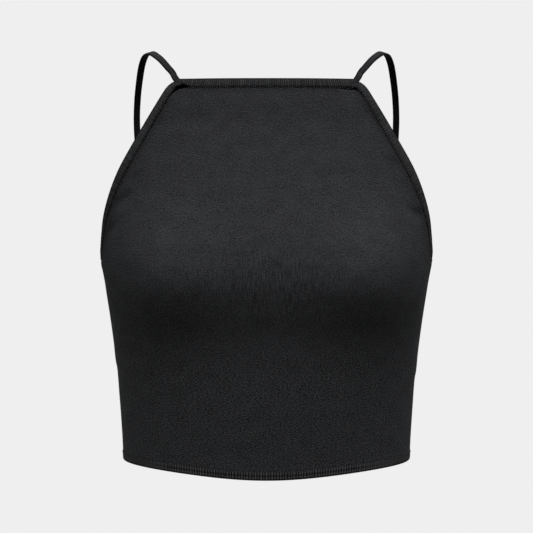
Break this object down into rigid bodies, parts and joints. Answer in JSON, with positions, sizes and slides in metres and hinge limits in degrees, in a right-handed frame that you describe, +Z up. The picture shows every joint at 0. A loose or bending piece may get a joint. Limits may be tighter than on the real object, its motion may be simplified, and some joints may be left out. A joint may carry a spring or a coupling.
{
  "type": "tank top",
  "caption": "Cropped jersey tank top with a high straight neckline, cut-in armholes, bound edges and two narrow shoulder straps, standing hollow as worn.",
  "frame": {"origin": "the mount where the wearer's shoulders hold the straps: midway between the two straps, level with the top of their arch, in the plane of the side seams", "axes": "+Z up the standing wearer's body, -Y out of the centre front, +X to the wearer's left"},
  "size_m": [0.3048, 0.2216, 0.3841],
  "materials": {
    "body_jersey": "matte",
    "band_jersey": "matte",
    "strap_jersey": "matte",
    "hem_jersey": "matte"
  },
  "bodies": {
    "root": {"front_panel": "body_jersey", "back_panel": "body_jersey", "neck_band": "band_jersey", "armhole_band_left": "band_jersey", "armhole_band_right": "band_jersey", "back_band": "band_jersey", "strap_left": "strap_jersey", "strap_right": "strap_jersey", "front_hem": "hem_jersey", "back_hem": "hem_jersey"}
  },
  "joints": []
}
